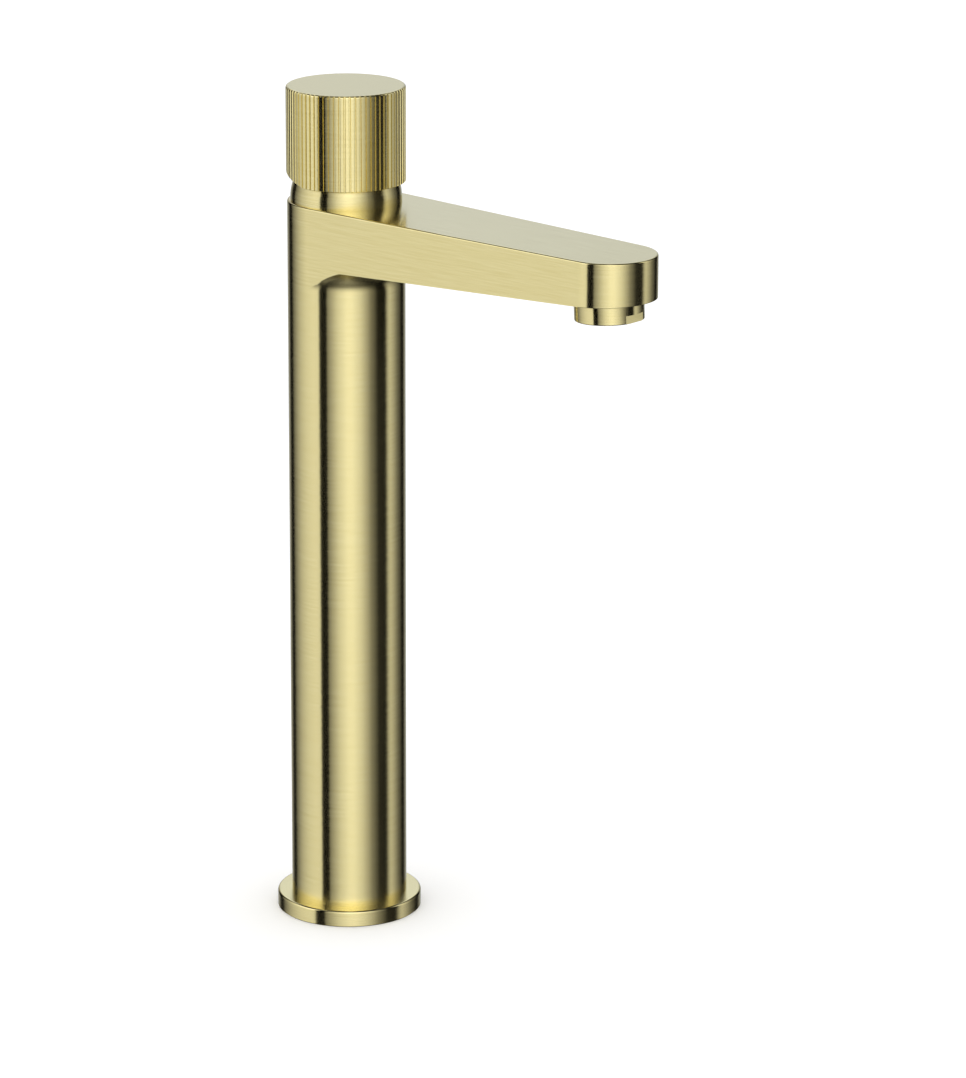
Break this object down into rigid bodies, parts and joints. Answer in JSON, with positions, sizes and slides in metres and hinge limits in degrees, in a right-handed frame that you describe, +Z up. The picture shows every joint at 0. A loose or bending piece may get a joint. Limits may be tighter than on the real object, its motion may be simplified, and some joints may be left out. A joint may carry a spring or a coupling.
{
  "type": "bathroom mixer faucet",
  "caption": "Tall deck-mounted basin mixer: round column, flat tapering spout, domed neck and a fluted knob that tilts back for flow and turns for temperature.",
  "frame": {"origin": "on the column's axis at the deck, at the mouth of the fixing stud's thread", "axes": "+Z up along the column; +X from the column towards the spout's tip; +Y to the left of the spout"},
  "size_m": [0.166, 0.0526, 0.3063],
  "materials": {
    "brushed_brass": "brushed, lacquered pale brass",
    "raw_brass": "machined, uncoated",
    "copper_tube": "drawn tube",
    "stainless": "satin",
    "ceramic": "lapped alumina ceramic",
    "black_rubber": "moulded",
    "white_plastic": "moulded acetal",
    "grey_plastic": "moulded acetal"
  },
  "bodies": {
    "body": {"faucet_body": "brushed_brass", "base_ring": "brushed_brass", "base_gasket": "black_rubber", "base_insert": "raw_brass", "base_insert_seal": "black_rubber", "supply_tube_hot": "copper_tube", "supply_tube_cold": "copper_tube", "supply_tube_seals": "black_rubber", "manifold": "raw_brass", "manifold_seals": "black_rubber", "cartridge_port_base": "grey_plastic", "cartridge_port_seals": "black_rubber", "fixed_ceramic_disc": "ceramic", "cartridge_housing": "white_plastic", "cartridge_nut": "raw_brass", "temperature_stop_ring": "grey_plastic", "dome_cover": "brushed_brass", "dome_seal": "black_rubber", "aerator_shell": "brushed_brass", "aerator_washer": "black_rubber", "aerator_screen": "stainless", "aerator_straightener": "grey_plastic"},
    "turning_carrier": {"lever_carrier": "white_plastic", "lever_pin": "stainless"},
    "disc": {"moving_ceramic_disc": "ceramic", "disc_carrier": "grey_plastic"},
    "lever": {"lever_stem": "stainless", "knob_bush": "raw_brass", "knob": "brushed_brass", "knob_grub_screw": "stainless", "knob_screw_cap": "brushed_brass"}
  },
  "joints": [
    {"name": "temperature_turn", "type": "hinge", "parent": "body", "child": "turning_carrier", "pos_m": [0, 0, 0.2659], "axis": [0, 0, 1], "range_deg": [-45, 45]},
    {"name": "flow_tilt", "type": "hinge", "parent": "turning_carrier", "child": "lever", "pos_m": [0, 0, 0.2659], "axis": [0, -1, 0], "range_deg": [0, 13]},
    {"name": "disc_slide", "type": "slide", "parent": "turning_carrier", "child": "disc", "axis": [1, 0, 0], "range_m": [0, 0.0028]}
  ],
  "couplings": [
    {"joint": "disc_slide", "follows": "flow_tilt", "m_per_rad": 0.012}
  ]
}
